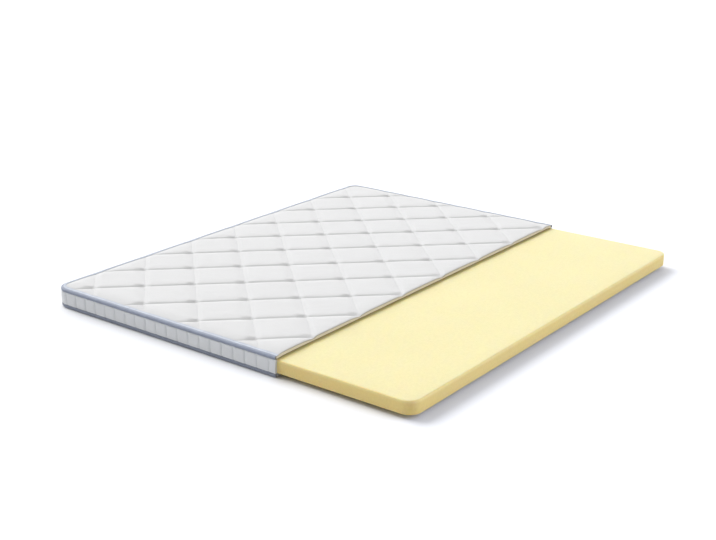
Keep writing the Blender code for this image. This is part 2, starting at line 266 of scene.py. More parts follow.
def plan_place(first, second):
    """The plan point with these two stitch-line coordinates."""
    sizes = sizes_now()
    first = first - soft_shift()
    x = FOAM_LOW.x + (first + second) / 2 * sizes.diamond_width / 2
    y = first_line() + (first - second) / 2 * sizes.diamond_length / 2
    return x, y


def line_spacing():
    sizes = sizes_now()
    return 2 / math.hypot(2 / sizes.diamond_width, 2 / sizes.diamond_length)


def line_offset(value):
    """Signed distance in plan from the nearest stitch line of one family."""
    turn = (value - 1) / 2
    return (turn - np.round(turn)) * line_spacing()


def falloff(offset, below, above):
    """From 1 on a line to 0 at one reach below it and at another above it."""
    share = np.clip(np.abs(offset) / np.where(offset < 0, below, above), 0, 1)
    return 1 - share * share * (3 - 2 * share)


def edge_distance(x, y):
    """Distance from the cover's sewn edge, the cut side not counted."""
    radius = sizes_now().corner_radius
    side = np.minimum(y - FOAM_LOW.y, FOAM_HIGH.y - y)
    inward = x - FOAM_LOW.x
    corner = (inward < radius) & (side < radius)
    round_distance = radius + PANEL_REACH - np.hypot(radius - inward, radius - side)
    return np.where(corner, round_distance, np.minimum(inward, side) + PANEL_REACH)


def wobble(*place):
    """Smooth noise at one place."""
    return noise.noise(Vector(place))


def wrinkle(points, scale, seed):
    """Smooth noise at points, one number each."""
    shift = Vector((seed * 7.3, seed * 3.1, seed * 5.7))
    return np.array([noise.noise(Vector(point) * scale + shift) for point in points])


def relief(x, y):
    """Height of the quilted face above the foam's top."""
    sizes = sizes_now()
    first_value, second_value = stitch_coordinates(x, y)
    offset, across = line_offset(first_value), line_offset(second_value)
    first, second = np.abs(offset), np.abs(across)
    width = np.where(across > 0, sizes.crease_near, sizes.crease_far)
    crease = sizes.crease_depth * (1 - np.minimum(second / width, 1)) ** 2
    width = np.where(offset > 0, sizes.soft_right, sizes.soft_left)
    soft = sizes.soft_depth * (1 - np.minimum(first / width, 1) ** 1.6) ** 2
    pinch = falloff(offset + sizes.pinch_shift, sizes.pinch_left, sizes.pinch_right)
    pinch *= falloff(across, sizes.pinch_far, sizes.pinch_near)
    pinch *= 1 - CUT_EASE * np.clip(1 - (CUT_X - x) / CUT_ZONE, 0, 1)
    middle = np.clip(np.minimum(first, second) / (line_spacing() / 2), 0, 1)
    dome = sizes.dome_rise * (1 - (1 - middle) ** 4)
    crown = PANEL_HIGH.z - FOAM_HIGH.z - sizes.dome_rise
    puff = crown + dome - (crease + soft - crease * soft / sizes.crease_depth)
    puff -= sizes.pinch_depth * pinch
    drawn = sum(np.clip(1 - (CUT_X - x) / reach, 0, 1) ** 2 for reach in DRAWN_STRIPS) / 2
    puff -= sizes.cut_pull * (puff - sizes.cut_level) * drawn
    puff -= sizes.notch_depth * falloff(x - CUT_X, NOTCH_IN, NOTCH_IN) * falloff(
        offset, NOTCH_LEFT, NOTCH_RIGHT)
    puff += gathers(first_value, second_value, first, second)
    seam = TOP_TAPE_HIGH.z - FOAM_HIGH.z - SEAM_DROP
    risen = np.clip(edge_distance(x, y) / sizes.edge_fall, 0, 1)
    share = 1 - (1 - risen) ** 2.2
    return seam + (puff - seam) * share


def gathers(first_value, second_value, first, second):
    """Small gathers that run out from the stitching, different beside each line."""
    sizes = sizes_now()
    step = line_spacing() / 2
    total = np.zeros_like(first)
    for seed, along, distance in ((1, second_value * step, first), (2, first_value * step, second)):
        line = np.round((first_value if seed == 1 else second_value) / 2)
        points = np.stack(
            [along / GATHER_LENGTH, distance / GATHER_WIDTH, line * 1.7 + seed * 31.0], axis=1)
        ridge = wrinkle(points, 1.0, seed)
        reach = distance / GATHER_REACH
        total += ridge * reach * np.exp(1 - reach) * sizes.pucker
    broad = np.stack([first_value * 1.1, second_value * 1.1, np.full_like(first, 4.0)], axis=1)
    return total + wrinkle(broad, 1.0, 3) * sizes.pucker * 0.8


def underside(x, y):
    """Height of the panel's backing above the foam's top: level, but lifted along the cut."""
    sizes = sizes_now()
    near_cut = np.clip(1 - (CUT_X - x) / sizes.lift_length, 0, 1)
    side = np.minimum(y - FOAM_LOW.y, FOAM_HIGH.y - y)
    fade = np.clip(side / sizes.lift_fade, 0, 1)
    fade = fade * fade * (3 - 2 * fade)
    return SMALL + (sizes.lift - SMALL) * near_cut ** 1.6 * fade


# ---- making meshes

def deselect_all():
    for item in list(bpy.context.selected_objects):
        item.select_set(False)


def make_active(piece):
    deselect_all()
    piece.select_set(True)
    bpy.context.view_layer.objects.active = piece


def link_mesh(mesh):
    piece = bpy.data.objects.new(mesh.name, mesh)
    bpy.context.collection.objects.link(piece)
    return piece


def new_piece(name, verts, faces, uvs=None):
    """A mesh object from points and faces, with a UV map of one place per point where given."""
    mesh = bpy.data.meshes.new(name)
    mesh.from_pydata([tuple(map(float, vert)) for vert in verts], [], faces)
    if uvs is not None:
        layer = mesh.uv_layers.new(name="strip")
        corners = np.zeros(len(mesh.loops), np.int32)
        mesh.loops.foreach_get("vertex_index", corners)
        layer.data.foreach_set("uv", np.asarray(uvs, np.float32)[corners].ravel())
    return link_mesh(mesh)


def piece_from(bm, name):
    mesh = bpy.data.meshes.new(name)
    bm.to_mesh(mesh)
    bm.free()
    return link_mesh(mesh)


def face_up(bm):
    """Turns an open sheet's faces upwards."""
    bm.normal_update()
    if sum(face.normal.z for face in bm.faces) < 0:
        bmesh.ops.reverse_faces(bm, faces=bm.faces)


def thicken(piece, thickness, offset):
    make_active(piece)
    modifier = piece.modifiers.new("thickness", "SOLIDIFY")
    modifier.thickness, modifier.offset = thickness, offset
    bpy.ops.object.modifier_apply(modifier=modifier.name)


def finish_piece(piece, degrees, node, material):
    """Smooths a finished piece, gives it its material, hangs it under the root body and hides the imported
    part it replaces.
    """
    make_active(piece)
    bpy.ops.object.shade_smooth_by_angle(angle=math.radians(degrees))
    piece.data.materials.clear()
    piece.data.materials.append(material)
    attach(piece, "root")
    if node:
        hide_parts(node)


def select_edges(piece, test):
    """In edit mode, selects the edges whose two ends pass a test."""
    bpy.ops.mesh.select_mode(type="EDGE")
    bpy.ops.mesh.select_all(action="DESELECT")
    shape = bmesh.from_edit_mesh(piece.data)
    for edge in shape.edges:
        edge.select_set(test(edge.verts[0].co, edge.verts[1].co))
    bmesh.update_edit_mesh(piece.data)


def slice_all(point, normal):
    """In edit mode, cuts everything along a plane."""
    bpy.ops.mesh.select_all(action="SELECT")
    bpy.ops.mesh.bisect(plane_co=point, plane_no=normal)


def rounded_block(name, low, high, radius, rims, rounded):
    """A cube with its upright corners and level rims rounded where it is rounded; in edit mode."""
    deselect_all()
    bpy.ops.mesh.primitive_cube_add(size=1.0, location=(low + high) / 2, scale=high - low)
    piece = bpy.context.object
    piece.name = piece.data.name = name
    bpy.ops.object.transform_apply(location=True, rotation=True, scale=True)
    bpy.ops.object.mode_set(mode="EDIT")
    select_edges(piece, lambda a, b: abs(a.z - b.z) > 0.01 and rounded((a + b) / 2))
    bpy.ops.mesh.bevel(offset=radius, segments=14, affect="EDGES")
    for level, rounding, segments in rims:
        select_edges(piece, lambda a, b: max(abs(a.z - level), abs(b.z - level)) < 1e-5
                     and rounded((a + b) / 2))
        bpy.ops.mesh.bevel(offset=rounding, segments=segments, affect="EDGES")
    return piece


# ---- the strip round three sides

def side_lengths():
    """Lengths of the cover's sewn outline: a short side, a corner, the long side, and so on."""
    radius = sizes_now().corner_radius
    short = CUT_X - FOAM_LOW.x - radius
    return (short, radius * math.pi / 2, FOAM_LENGTH - 2 * radius, radius * math.pi / 2, short)


def track_point(walked):
    """Plan point and outward normal on the foam's side, walked from the cut round to the cut."""
    radius = sizes_now().corner_radius
    short, corner, _, _, _ = side_lengths()
    half = sum(side_lengths()) / 2
    if walked > half:
        place, normal = track_point(2 * half - walked)
        return Vector((place.x, FOAM_LOW.y + FOAM_HIGH.y - place.y)), Vector((normal.x, -normal.y))
    if walked <= short:
        return Vector((CUT_X - walked, FOAM_LOW.y)), Vector((0, -1))
    walked -= short
    if walked <= corner:
        angle = 1.5 * math.pi - walked / radius
        normal = Vector((math.cos(angle), math.sin(angle)))
        return Vector((FOAM_LOW.x + radius, FOAM_LOW.y + radius)) + normal * radius, normal
    return Vector((FOAM_LOW.x, FOAM_LOW.y + radius + walked - corner)), Vector((-1, 0))


def cover_track(step, corner_steps, extra=()):
    """Stations along the cover's outline: distance walked, plan point and outward normal."""
    stations, start = list(extra), 0.0
    for index, side in enumerate(side_lengths()):
        count = corner_steps if index % 2 else round(side / step)
        stations += [start + side * share / count for share in range(count)]
        start += side
    stations = sorted(walked for walked in stations if 0 <= walked < start - 1e-6)
    kept = [stations[0]]
    for walked in stations[1:]:
        if walked - kept[-1] > 0.0006:
            kept.append(walked)
    kept.append(start)
    return [(walked, *track_point(walked)) for walked in kept]


def tube_faces(first, rings, around):
    """Faces of a closed tube of rings of points, with both its ends."""
    faces = []
    for ring in range(rings - 1):
        low, high = first + ring * around, first + (ring + 1) * around
        for corner in range(around):
            after = (corner + 1) % around
            faces.append((low + corner, low + after, high + after, high + corner))
    last = first + (rings - 1) * around
    faces.append(tuple(range(first + around - 1, first - 1, -1)))
    faces.append(tuple(range(last, last + around)))
    return faces


def sweep(name, track, section):
    """A closed strip along a track; section(station) gives its ring as (reach, height) pairs."""
    walked = np.array([station[0] for station in track])
    places = np.array([station[1] for station in track])
    normals = np.array([station[2] for station in track])
    rings = np.array([section(*station) for station in track])
    count, around = rings.shape[0], rings.shape[1]
    girth = np.linalg.norm(np.diff(rings[0], axis=0), axis=1)
    along = np.concatenate([[0], np.cumsum(girth)])
    plan = places[:, None, :] + normals[:, None, :] * rings[:, :, :1]
    verts = np.concatenate([plan, rings[:, :, 1:]], axis=2).reshape(-1, 3)
    uvs = np.stack(np.broadcast_arrays(walked[:, None], along[None, :]), axis=2).reshape(-1, 2)
    piece = new_piece(name, verts, tube_faces(0, count, around), uvs)
    face_outwards(piece)
    return piece


def face_outwards(piece):
    make_active(piece)
    bpy.ops.object.mode_set(mode="EDIT")
    bpy.ops.mesh.select_all(action="SELECT")
    bpy.ops.mesh.normals_make_consistent(inside=False)
    bpy.ops.object.mode_set(mode="OBJECT")


# ---- materials

def add_node(tree, kind, feeds=None, **settings):
    """Adds a node, sets its options, and feeds its sockets with values or other sockets."""
    made = tree.nodes.new(kind)
    for key, value in settings.items():
        setattr(made, key, value)
    for key, feed in (feeds or {}).items():
        if isinstance(feed, bpy.types.NodeSocket):
            tree.links.new(feed, made.inputs[key])
        else:
            made.inputs[key].default_value = feed
    return made


def math_node(tree, operation, *values):
    feeds = dict(enumerate(values))
    return add_node(tree, "ShaderNodeMath", feeds, operation=operation).outputs[0]


def place_socket(tree, source):
    """Places on a piece, in metres: its own coordinates, or its strip's length and girth."""
    if source == "strip":
        return add_node(tree, "ShaderNodeUVMap", uv_map="strip").outputs["UV"]
    return add_node(tree, "ShaderNodeTexCoord").outputs["Object"]


def ramp(tree, value, low, high, start=0.0, end=1.0, kind="LINEAR"):
    """Runs from start to end while a value runs from low to high."""
    feeds = {"Value": value, "From Min": low, "From Max": high, "To Min": start, "To Max": end}
    return add_node(tree, "ShaderNodeMapRange", feeds, interpolation_type=kind).outputs[0]


def split(tree, place):
    return add_node(tree, "ShaderNodeSeparateXYZ", {0: place}).outputs


def wave(tree, value, pitch):
    return math_node(tree, "SINE", math_node(tree, "MULTIPLY", value, 2 * math.pi / pitch))


def scaled(tree, place, scale):
    feeds = {"Vector": place, "Scale": scale}
    return add_node(tree, "ShaderNodeMapping", feeds).outputs["Vector"]


def noise_socket(tree, place, scale, detail=2.0, roughness=0.5):
    feeds = {"Vector": place, "Scale": scale, "Detail": detail, "Roughness": roughness}
    return add_node(tree, "ShaderNodeTexNoise", feeds).outputs["Fac"]


def mixed_colour(tree, factor, dark, light, blend="MIX"):
    made = add_node(tree, "ShaderNodeMix", {0: factor}, data_type="RGBA", blend_type=blend)
    for index, value in ((6, dark), (7, light)):
        if isinstance(value, bpy.types.NodeSocket):
            tree.links.new(value, made.inputs[index])
        else:
            made.inputs[index].default_value = (*value, 1.0)
    return made.outputs[2]


def varied(tree, base, factor, low, high):
    """A colour made darker and lighter by a factor between 0 and 1."""
    return mixed_colour(tree, 1.0, base, ramp(tree, factor, 0.25, 0.75, low, high), "MULTIPLY")


def bump(tree, height, distance, below=None):
    feeds = {"Height": height, "Distance": distance, "Strength": 1.0}
    if below is not None:
        feeds["Normal"] = below
    return add_node(tree, "ShaderNodeBump", feeds).outputs["Normal"]


def shade(values, factor):
    return tuple(min(value * factor, 1.0) for value in values)


def cloth_material(name, roughness, sheen, source="object"):
    """A new material with its shader's fixed values set, its node tree, and places on its piece."""
    made = bpy.data.materials.new(name)
    made.use_nodes = True
    shader = made.node_tree.nodes["Principled BSDF"]
    shader.inputs["Roughness"].default_value = roughness
    shader.inputs["Specular IOR Level"].default_value = 0.25
    shader.inputs["Sheen Weight"].default_value = sheen
    shader.inputs["Sheen Roughness"].default_value = 0.5
    return made, made.node_tree, place_socket(made.node_tree, source)


def connect(made, base, normal):
    """Feeds a material's shader, and returns the material."""
    shader = made.node_tree.nodes["Principled BSDF"]
    made.node_tree.links.new(base, shader.inputs["Base Color"])
    made.node_tree.links.new(normal, shader.inputs["Normal"])
    return made


def knit_height(tree, place):
    """Columns of V-shaped knit loops."""
    parts = split(tree, place)
    across = math_node(tree, "DIVIDE", parts[0], KNIT_WALE)
    along = math_node(tree, "DIVIDE", parts[1], KNIT_COURSE)
    slant = math_node(tree, "PINGPONG", across, 0.5)
    loop = wave(tree, math_node(tree, "MULTIPLY_ADD", slant, 1.2, along), 1.0)
    column = math_node(tree, "ABSOLUTE", wave(tree, across, 1.0))
    return math_node(tree, "MULTIPLY_ADD", loop, 0.35, column)


def offset_socket(tree, place, along_sign):
    """Signed distance from the nearest stitch line of one family, as line_offset gives it."""
    sizes = sizes_now()
    slope = (1 / sizes.diamond_width, along_sign / sizes.diamond_length, 0.0)
    shift = -FOAM_LOW.x * slope[0] - first_line() * slope[1]
    if along_sign > 0:
        shift += soft_shift() / 2
    turns = add_node(tree, "ShaderNodeVectorMath", {0: place, 1: slope}, operation="DOT_PRODUCT")
    part = math_node(tree, "FRACT", math_node(tree, "ADD", turns.outputs["Value"], shift))
    return math_node(tree, "MULTIPLY_ADD", part, line_spacing(), -line_spacing() / 2)


def falloff_socket(tree, offset, below, above):
    sides = [ramp(tree, offset, reach, 0.0, kind="SMOOTHSTEP") for reach in (-below, above)]
    return math_node(tree, "MINIMUM", *sides)


def quilting(tree, place, normal):
    """Shading of the drawn-in crossings, the soft lines and the faint streaks along the creases."""
    sizes = sizes_now()
    offset, across = offset_socket(tree, place, 1), offset_socket(tree, place, -1)
    shifted = math_node(tree, "ADD", offset, sizes.pinch_shift)
    pinch = math_node(tree, "MULTIPLY",
                      falloff_socket(tree, shifted, sizes.pinch_left, sizes.pinch_right),
                      falloff_socket(tree, across, sizes.pinch_far, sizes.pinch_near))
    soft = falloff_socket(tree, offset, sizes.soft_left, sizes.soft_right)
    x, y, _ = split(tree, place)
    drawn_out = add_node(tree, "ShaderNodeCombineXYZ", {
        0: math_node(tree, "MULTIPLY", math_node(tree, "ADD", x, y), 3.0),
        1: math_node(tree, "MULTIPLY", across, 55.0), 2: math_node(tree, "MULTIPLY", offset, 2.0)})
    streaks = noise_socket(tree, drawn_out.outputs[0], 1.0)
    depth = ramp(tree, x, CUT_X - CUT_ZONE, CUT_X, -CROSSING_SHADE, CROSSING_SHADE * (CUT_EASE - 1))
    height = math_node(tree, "MULTIPLY", pinch, depth)
    height = math_node(tree, "MULTIPLY_ADD", soft, -SOFT_SHADE, height)
    height = math_node(tree, "MULTIPLY_ADD", streaks, STREAK_SHADE, height)
    return bump(tree, height, 1.0, normal)


def knit(name, tint, source):
    made, tree, place = cloth_material(name, 0.85, 0.15, source)
    loops = knit_height(tree, place)
    patches = noise_socket(tree, place, 9.0, 3.0)
    fuzz = noise_socket(tree, place, 900.0)
    base = mixed_colour(tree, patches, shade(tint, 0.975), shade(tint, 1.02))
    # Painted shade: the knit is darker between its loops, where shade falls in the cloth's hollows.
    between = math_node(tree, "MULTIPLY_ADD", loops, 0.18, 0.80)
    base = mixed_colour(tree, between, shade(tint, 0.88), base)
    normal = bump(tree, fuzz, 0.00006, bump(tree, loops, 0.00012))
    if name == "quilted_knit":
        normal = quilting(tree, place, normal)
        # Painted shade: the face cloth is darkened over its last few millimetres at the cut, for the shade
        # line under its cut edge.
        rim = ramp(tree, split(tree, place)[0], CUT_X - 0.0035, CUT_X - 0.0010)
        base = mixed_colour(tree, rim, base, CUT_EDGE_SHADE)
    return connect(made, base, normal)


def foam_material():
    """Open-cell foam: paler on top, a deeper colour on the sawn sides, a little translucent;
    painted light on the sides' upper rim and painted shade on the top beside the cut.
    """
    colours = bpy.context.scene.topper_colours
    made, tree, place = cloth_material("foam", 0.92, 0.05)
    shader = tree.nodes["Principled BSDF"]
    shader.inputs["Subsurface Weight"].default_value = 0.8
    shader.inputs["Subsurface Radius"].default_value = (1.0, 0.65, 0.25)
    shader.inputs["Subsurface Scale"].default_value = 0.011
    x, _, height = split(tree, place)
    upper, top_share = (ramp(tree, height, FOAM_HIGH.z - below, FOAM_HIGH.z - above, kind="SMOOTHSTEP")
                   for below, above in ((0.016, 0.003), (0.0018, 0.0004)))
    # Painted shade: a darker, more saturated colour on the foam's top beside the cut, where the cover's
    # edge shades it.
    beside = ramp(tree, x, CUT_X + 0.030, CUT_X + 0.002, kind="SMOOTHSTEP")
    cells = add_node(tree, "ShaderNodeTexVoronoi", {"Vector": place, "Scale": 620.0})
    fine = noise_socket(tree, place, 1500.0, 3.0, 0.6)
    broad = noise_socket(tree, place, 3.2, 3.0)
    grain = noise_socket(tree, place, 120.0, 4.0, 0.6)
    # Painted light: the sides turn lighter over their top 16 mm, towards the rounded rim.
    sides = mixed_colour(tree, upper, colours.foam_side, colours.foam_rim)
    base = mixed_colour(tree, top_share, sides, colours.foam)
    base = mixed_colour(tree, math_node(tree, "MULTIPLY", beside, top_share), base, colours.foam_shaded)
    for factor, low, high in ((broad, 0.975, 1.012), (fine, 0.91, 1.04), (grain, 0.95, 1.03)):
        base = varied(tree, base, factor, low, high)
    normal = bump(tree, cells.outputs["Distance"], 0.00035)
    return connect(made, base, bump(tree, grain, 0.0004, normal))


def wadding_material():
    tint = bpy.context.scene.topper_colours.wadding
    made, tree, place = cloth_material("wadding", 0.95, 0.25)
    strands = noise_socket(tree, scaled(tree, place, (220.0, 70.0, 900.0)), 1.0, 4.0, 0.6)
    clumps = noise_socket(tree, scaled(tree, place, (40.0, 25.0, 160.0)), 1.0, 3.0)
    base = mixed_colour(tree, strands, shade(tint, 0.86), shade(tint, 1.05))
    base = mixed_colour(tree, math_node(tree, "MULTIPLY_ADD", clumps, 0.6, 0.6), shade(tint, 0.9), base)
    return connect(made, base, bump(tree, strands, 0.0006, bump(tree, clumps, 0.0012)))


def tape_material(name, leaf, depth=1.0):
    """A close twill, paler over the leaf that lies on the panel; its darker sides are partly
    the tape's own blue and partly painted shade under its roll.
    """
    colours = bpy.context.scene.topper_colours
    # Painted shade: a depth below 1 darkens the whole tape, for a tape that lies in shade.
    tint = shade(colours.tape, depth)
    made, tree, place = cloth_material(name, 0.62, 0.2, "strip")
    walked, girth, _ = split(tree, place)
    rib = wave(tree, math_node(tree, "MULTIPLY_ADD", girth, 0.8, walked), 0.0011)
    weave = math_node(tree, "MULTIPLY_ADD", wave(tree, girth, 0.0007), 0.3, rib)
    patches = noise_socket(tree, place, 60.0, 3.0)
    # Painted shade in part: pale over the leaf, darker down the sides, partly the tape's own blue and
    # partly shade under its roll.
    base = mixed_colour(tree, ramp(tree, girth, leaf - 0.0005, leaf + 0.0005), colours.tape_leaf, tint)
    base = varied(tree, base, patches, 0.93, 1.06)
    # Painted sheen and shade: the twill's ribs are made lighter and its grooves darker.
    shine = math_node(tree, "MULTIPLY_ADD", weave, 0.2, 0.5)
    base = varied(tree, base, shine, 0.86, 1.08)
    return connect(made, base, bump(tree, weave, 0.00012))


def thread_material(name, tint):
    made, tree, place = cloth_material(name, 0.6, 0.1)
    twist = noise_socket(tree, place, 1600.0)
    base = mixed_colour(tree, twist, shade(tint, 0.85), shade(tint, 1.05))
    return connect(made, base, bump(tree, twist, 0.0001))


def nonwoven_material(name, tint):
    """Thin bonded cloth with a fine dotted emboss."""
    made, tree, place = cloth_material(name, 0.9, 0.05)
    dots = add_node(tree, "ShaderNodeTexVoronoi", {"Vector": place, "Scale": 420.0, "Randomness": 0.15})
    hairs = noise_socket(tree, place, 700.0, 4.0, 0.7)
    base = mixed_colour(tree, hairs, shade(tint, 0.9), shade(tint, 1.04))
    return connect(made, base, bump(tree, hairs, 0.0001, bump(tree, dots.outputs["Distance"], 0.0002)))


# ---- operators, one for each piece

class MakeFoam(bpy.types.Operator):
    """Cuts the foam slab: rounded corners, softened rims and slightly uneven faces"""
    bl_idname = "topper.make_foam"
    bl_label = "Foam slab"

    def execute(self, context):
        sizes = context.scene.topper_sizes
        low, high = FOAM_LOW, FOAM_HIGH
        rims = ((high.z, 0.0052, 6), (low.z, 0.0032, 4))
        slab = rounded_block("foam_slab", low, high, sizes.corner_radius, rims, lambda spot: True)
        cell = 0.025
        for x in np.arange(low.x + 2 * cell, high.x - 1.5 * cell, cell):
            slice_all((x, 0, 0), (1, 0, 0))
        for y in np.arange(low.y + 2 * cell, high.y - 1.5 * cell, cell):
            slice_all((0, y, 0), (0, 1, 0))
        slice_all((0, 0, (low.z + high.z) / 2), (0, 0, 1))
        bpy.ops.object.mode_set(mode="OBJECT")
        places = np.array([vert.co for vert in slab.data.vertices])
        inward = np.array([vert.normal for vert in slab.data.vertices])
        dents = wrinkle(places, 9.0, 5) * BROAD_DENTS + wrinkle(places, 45.0, 6) * FINE_DENTS
        places -= inward * (np.abs(dents) + 0.00002)[:, None]
        slab.data.vertices.foreach_set("co", places.astype(np.float32).ravel())
        slab.data.update()
        finish_piece(slab, 50, "foam_core", foam_material())
        return {"FINISHED"}


def line_steps(low, high, distances):
    """Values of one stitch coordinate at each line and at distances to both its sides."""
    values = []
    line = math.floor(low / 2) * 2 - 1
    while line <= high + 2:
        values.append(line)
        for distance in distances:
            values += [line - 2 * distance / line_spacing(), line + 2 * distance / line_spacing()]
        values.append(line + 1)
        line += 2
    return sorted(values)


def trimmed_grid(reach, distances, rings, strips):
    """A flat sheet on the stitch lines, cut to the foam's outline in plan or a reach beyond it."""
    sizes = sizes_now()
    low_x, low_y, high_y = FOAM_LOW.x - reach, FOAM_LOW.y - reach, FOAM_HIGH.y + reach
    corners = [stitch_coordinates(x, y) for x in (low_x, CUT_X) for y in (low_y, high_y)]
    firsts, seconds = (line_steps(min(values), max(values), distances) for values in zip(*corners))
    margin = sizes.diamond_width / 8
    bm = bmesh.new()
    grid = {}

    def vert(row, column):
        if (row, column) not in grid:
            grid[row, column] = bm.verts.new((*plan_place(firsts[row], seconds[column]), 0.0))
        return grid[row, column]

    for row in range(len(firsts) - 1):
        for column in range(len(seconds) - 1):
            x, y = plan_place(firsts[row], seconds[column])
            if low_x - margin < x < CUT_X + margin and low_y - margin < y < high_y + margin:
                bm.faces.new((vert(row, column), vert(row + 1, column),
                              vert(row + 1, column + 1), vert(row, column + 1)))

    def cut(point, normal, clear=True):
        geometry = list(bm.verts) + list(bm.edges) + list(bm.faces)
        bmesh.ops.bisect_plane(bm, geom=geometry, dist=1e-5, plane_co=(*point, 0.0),
                               plane_no=(*normal, 0.0), clear_outer=clear)

    sewn = (((low_x, 0), (-1, 0)), ((0, low_y), (0, -1)), ((0, high_y), (0, 1)))
    for point, normal in (sewn[0], ((CUT_X, 0), (1, 0)), *sewn[1:]):
        cut(point, normal)
    steps = 12
    half = math.pi / 4 / steps
    radius = sizes.corner_radius + reach
    for side, centre_y in ((-1, low_y + radius), (1, high_y - radius)):
        for step in range(steps):
            angle = half * (2 * step + 1)
            normal = Vector((-math.cos(angle), side * math.sin(angle)))
            cut(Vector((low_x + radius, centre_y)) + normal * radius * math.cos(half), normal)
    for ring in rings:
        for point, normal in sewn:
            cut(Vector(point) - ring * Vector(normal), normal, clear=False)
    for strip in strips:
        cut((CUT_X - strip, 0), (1, 0), clear=False)
    return bm


def on_cut(vert):
    return abs(vert.co.x - CUT_X) < 1e-5


def plan_arrays(bm):
    places = np.array([vert.co for vert in bm.verts])
    return places[:, 0], places[:, 1]


def outline_normal(x, y):
    """Outward direction in plan at a point on the cover's outline."""
    radius = sizes_now().corner_radius
    inner_x = max(x, FOAM_LOW.x + radius)
    inner_y = min(max(y, FOAM_LOW.y + radius), FOAM_HIGH.y - radius)
    return Vector((x - inner_x, y - inner_y)).normalized()


class MakeQuiltedPanel(bpy.types.Operator):
    """Makes the quilted panel: face cloth, wadding and backing cloth"""
    bl_idname = "topper.make_quilted_panel"
    bl_label = "Quilted panel"

    def execute(self, context):
        self.face_cloth(context)
        self.wadding(context)
        self.backing(context)
        return {"FINISHED"}

    def face_cloth(self, context):
        sizes = context.scene.topper_sizes
        bm = trimmed_grid(PANEL_REACH, FACE_LINES, FACE_RINGS, FACE_STRIPS)
        x, y = plan_arrays(bm)
        for vert, height in zip(bm.verts, relief(x, y)):
            vert.co.z = FOAM_HIGH.z + height
        sewn = [edge for edge in bm.edges if edge.is_boundary and not all(map(on_cut, edge.verts))]
        tuck = bmesh.ops.extrude_edge_only(bm, edges=sewn)
        for item in tuck["geom"]:
            if isinstance(item, bmesh.types.BMVert):
                out = outline_normal(item.co.x, item.co.y)
                item.co += Vector((out.x * TUCK_OUT, out.y * TUCK_OUT, -TUCK_DOWN))
        bmesh.ops.recalc_face_normals(bm, faces=bm.faces)
        face_up(bm)
        cloth = piece_from(bm, "quilt_face")
        thicken(cloth, sizes.cloth, -1.0)
        tint = context.scene.topper_colours.knit
        finish_piece(cloth, 60, "top_panel", knit("quilted_knit", tint, "object"))

    def wadding(self, context):
        sizes = context.scene.topper_sizes
        strips = sizes.lift_length * LIFT_SHARES
        bm = trimmed_grid(-0.0010, WADDING_LINES, WADDING_RINGS, strips)
        top = list(bm.verts)
        x, y = plan_arrays(bm)
        ceiling = FOAM_HIGH.z + relief(x, y) - sizes.cloth - CLEAR_ABOVE
        ground = FOAM_HIGH.z + underside(x, y) + sizes.backing + CLEAR_BELOW
        for vert, height, low in zip(top, ceiling, ground):
            vert.co.z = max(height, low + THINNEST)
        copy = bmesh.ops.duplicate(bm, geom=list(bm.verts) + list(bm.edges) + list(bm.faces))
        lower = {copy["vert_map"][vert]: low for vert, low in zip(top, ground)}
        for vert, low in lower.items():
            vert.co.z = low
        bm.faces.ensure_lookup_table()
        lower_faces = [item for item in copy["geom"] if isinstance(item, bmesh.types.BMFace)]
        bmesh.ops.reverse_faces(bm, faces=lower_faces)
        rim = [edge for edge in bm.edges if edge.is_boundary]
        bmesh.ops.bridge_loops(bm, edges=rim)
        self.fray(bm)
        bmesh.ops.recalc_face_normals(bm, faces=bm.faces)
        fill = piece_from(bm, "wadding")
        finish_piece(fill, 60, "top_panel", wadding_material())

    def fray(self, bm):
        """Makes the wadding's cut face uneven, fibre by fibre."""
        upright = []
        for edge in bm.edges:
            low, high = edge.verts
            if on_cut(low) and on_cut(high) and abs(low.co.y - high.co.y) < 1e-4:
                upright.append(edge)
        bmesh.ops.subdivide_edges(bm, edges=upright, cuts=6, use_grid_fill=True)
        for vert in filter(on_cut, list(bm.verts)):
            strand = wobble(vert.co.y * 45, vert.co.z * 420, 3.0)
            clump = wobble(vert.co.y * 14, vert.co.z * 90, 8.0)
            vert.co.x -= FRAY_BACK + FRAY_STRAND * strand + FRAY_CLUMP * clump

    def backing(self, context):
        sizes = context.scene.topper_sizes
        strips = sizes.lift_length * LIFT_SHARES
        bm = trimmed_grid(-0.0004, BACKING_LINES, BACKING_RINGS, strips)
        x, y = plan_arrays(bm)
        for vert, height in zip(bm.verts, underside(x, y)):
            vert.co.z = FOAM_HIGH.z + height
        face_up(bm)
        cloth = piece_from(bm, "panel_backing")
        thicken(cloth, sizes.backing, 1.0)
        # Painted shade: the backing's dark brown stands in for the shade in the gap under the lifted cut
        # edge.
        tint = context.scene.topper_colours.backing
        finish_piece(cloth, 60, "top_panel", nonwoven_material("backing", tint))


